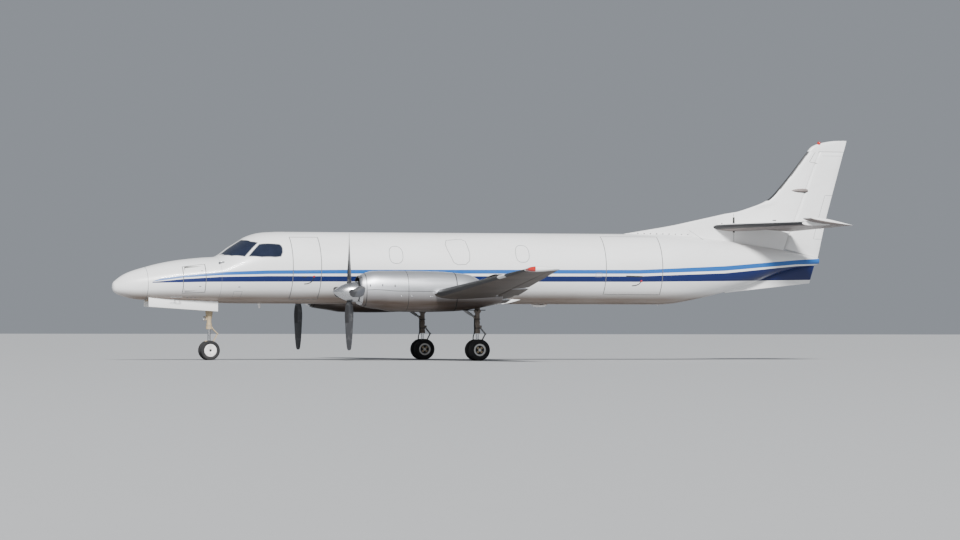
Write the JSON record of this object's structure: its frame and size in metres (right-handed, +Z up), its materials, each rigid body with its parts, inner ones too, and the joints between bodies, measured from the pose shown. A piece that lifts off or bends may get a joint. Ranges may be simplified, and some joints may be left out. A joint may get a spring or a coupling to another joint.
{
  "type": "turboprop airliner",
  "caption": "White twin-turboprop commuter airliner in cargo fit, with bare metal wings and nacelles, low wing, cruciform tail and twin-wheel landing gear.",
  "frame": {"origin": "on the ground, midway between the nose tip and the rudder's trailing edge", "axes": "-X towards the nose, -Y to port, +Z up"},
  "size_m": [18.09, 17.37, 5.27],
  "materials": {
    "paint_white": "gloss",
    "aluminium": "satin",
    "rubber": "matte",
    "steel": "satin",
    "gear_tan": "satin",
    "exhaust": "matte",
    "glass": "gloss",
    "interior": "matte",
    "blade": "matte"
  },
  "bodies": {
    "airframe": {"cockpit_section": "paint_white", "cowling_left": "aluminium", "cowling_right": "aluminium", "engine_left": "steel", "engine_right": "steel", "exhaust_left": "exhaust", "exhaust_right": "exhaust", "fin": "paint_white", "forward_fuselage": "paint_white", "instrument_panel": "interior", "main_leg_left": "gear_tan", "main_leg_right": "gear_tan", "mid_fuselage": "paint_white", "nacelle_left": "aluminium", "nacelle_right": "aluminium", "nacelle_top_left": "aluminium", "nacelle_top_right": "aluminium", "nose_gear_door_left": "paint_white", "nose_gear_door_right": "paint_white", "nose_leg": "gear_tan", "nose_section": "paint_white", "pilot_seat_left": "interior", "pilot_seat_right": "interior", "radome": "paint_white", "rear_fuselage": "paint_white", "side_window_left": "glass", "side_window_right": "glass", "tail_cone": "paint_white", "tailplane_left": "paint_white", "tailplane_right": "paint_white", "ventral_fin": "paint_white", "windshield_left": "glass", "windshield_right": "glass", "wing_left": "aluminium", "wing_right": "aluminium"},
    "propeller_left": {"propeller_left": "aluminium"},
    "propeller_right": {"propeller_right": "aluminium"},
    "nose_steering": {"nose_strut": "steel"},
    "nose_wheels": {"nose_hub": "steel", "nose_tyre_port": "rubber", "nose_tyre_starboard": "rubber"},
    "rudder": {"rudder": "paint_white"},
    "airstair_door": {"airstair_door": "paint_white"},
    "cargo_door": {"cargo_door": "paint_white"},
    "main_wheels_left": {"main_left_hub": "steel", "main_left_tyre_port": "rubber", "main_left_tyre_starboard": "rubber"},
    "aileron_left": {"aileron_left": "aluminium"},
    "flap_inner_left": {"flap_inner_left": "aluminium"},
    "flap_outer_left": {"flap_outer_left": "aluminium"},
    "elevator_left": {"elevator_left": "paint_white"},
    "nose_hatch_left": {"nose_hatch_left": "paint_white"},
    "main_wheels_right": {"main_right_hub": "steel", "main_right_tyre_port": "rubber", "main_right_tyre_starboard": "rubber"},
    "aileron_right": {"aileron_right": "aluminium"},
    "flap_inner_right": {"flap_inner_right": "aluminium"},
    "flap_outer_right": {"flap_outer_right": "aluminium"},
    "elevator_right": {"elevator_right": "paint_white"},
    "nose_hatch_right": {"nose_hatch_right": "paint_white"}
  },
  "joints": [
    {"name": "propeller_left", "type": "hinge", "parent": "airframe", "child": "propeller_left", "pos_m": [-3.985, -2.285, 1.582], "axis": [1, 0, 0], "continuous": true},
    {"name": "main_wheels_left", "type": "hinge", "parent": "airframe", "child": "main_wheels_left", "pos_m": [-0.905, -2.285, 0.2475], "axis": [0, 1, 0], "continuous": true},
    {"name": "propeller_right", "type": "hinge", "parent": "airframe", "child": "propeller_right", "pos_m": [-3.985, 2.285, 1.582], "axis": [1, 0, 0], "continuous": true},
    {"name": "main_wheels_right", "type": "hinge", "parent": "airframe", "child": "main_wheels_right", "pos_m": [-0.905, 2.285, 0.2475], "axis": [0, 1, 0], "continuous": true},
    {"name": "nose_steering", "type": "hinge", "parent": "airframe", "child": "nose_steering", "pos_m": [-6.735, 0, 0.75], "axis": [0, 0, 1], "range_deg": [-63, 63]},
    {"name": "nose_wheels", "type": "hinge", "parent": "nose_steering", "child": "nose_wheels", "pos_m": [-6.735, 0, 0.2285], "axis": [0, 1, 0], "continuous": true},
    {"name": "rudder", "type": "hinge", "parent": "airframe", "child": "rudder", "pos_m": [7.96031, 0, 3.822], "axis": [0.3443, 0, 0.9389], "range_deg": [-25, 25]},
    {"name": "elevator_left", "type": "hinge", "parent": "airframe", "child": "elevator_left", "pos_m": [7.45062, -1.295, 3.21103], "axis": [-0.4057, 0.9136, -0.0289], "range_deg": [-35, 5]},
    {"name": "aileron_left", "type": "hinge", "parent": "airframe", "child": "aileron_left", "pos_m": [-0.88573, -6.4, 1.8691], "axis": [0.0926, 0.9921, -0.0841], "range_deg": [-20, 20]},
    {"name": "flap_inner_left", "type": "hinge", "parent": "airframe", "child": "flap_inner_left", "pos_m": [-0.4154, -1.36, 1.30203], "axis": [0.0926, 0.9921, -0.0841], "range_deg": [-5, 31]},
    {"name": "flap_outer_left", "type": "hinge", "parent": "airframe", "child": "flap_outer_left", "pos_m": [-0.6221, -3.575, 1.48972], "axis": [0.0926, 0.9921, -0.0841], "range_deg": [-5, 31]},
    {"name": "nose_hatch_left", "type": "hinge", "parent": "airframe", "child": "nose_hatch_left", "pos_m": [-7.2315, -0.49478, 2.19137], "axis": [-0.9862, 0.1206, -0.1139], "range_deg": [0, 90]},
    {"name": "elevator_right", "type": "hinge", "parent": "airframe", "child": "elevator_right", "pos_m": [7.45062, 1.295, 3.21103], "axis": [0.4057, 0.9136, 0.0289], "range_deg": [-35, 5]},
    {"name": "aileron_right", "type": "hinge", "parent": "airframe", "child": "aileron_right", "pos_m": [-0.88573, 6.4, 1.8691], "axis": [-0.0926, 0.9921, 0.0841], "range_deg": [-20, 20]},
    {"name": "flap_inner_right", "type": "hinge", "parent": "airframe", "child": "flap_inner_right", "pos_m": [-0.4154, 1.36, 1.30203], "axis": [-0.0926, 0.9921, 0.0841], "range_deg": [-5, 31]},
    {"name": "flap_outer_right", "type": "hinge", "parent": "airframe", "child": "flap_outer_right", "pos_m": [-0.6221, 3.575, 1.48972], "axis": [-0.0926, 0.9921, 0.0841], "range_deg": [-5, 31]},
    {"name": "nose_hatch_right", "type": "hinge", "parent": "airframe", "child": "nose_hatch_right", "pos_m": [-7.2315, 0.49478, 2.19137], "axis": [0.9862, 0.1206, 0.1139], "range_deg": [0, 90]},
    {"name": "airstair_door", "type": "hinge", "parent": "airframe", "child": "airstair_door", "pos_m": [-4.5895, -0.419, 1.43027], "axis": [1, 0, 0], "range_deg": [0, 135]},
    {"name": "cargo_door", "type": "hinge", "parent": "airframe", "child": "cargo_door", "pos_m": [3.411, -0.34884, 2.91794], "axis": [-1, 0, 0], "range_deg": [0, 100]}
  ],
  "couplings": [
    {"joint": "elevator_right", "follows": "elevator_left", "ratio": 1},
    {"joint": "aileron_right", "follows": "aileron_left", "ratio": -1},
    {"joint": "flap_inner_right", "follows": "flap_inner_left", "ratio": 1},
    {"joint": "flap_outer_left", "follows": "flap_inner_left", "ratio": 1},
    {"joint": "flap_outer_right", "follows": "flap_inner_left", "ratio": 1}
  ]
}
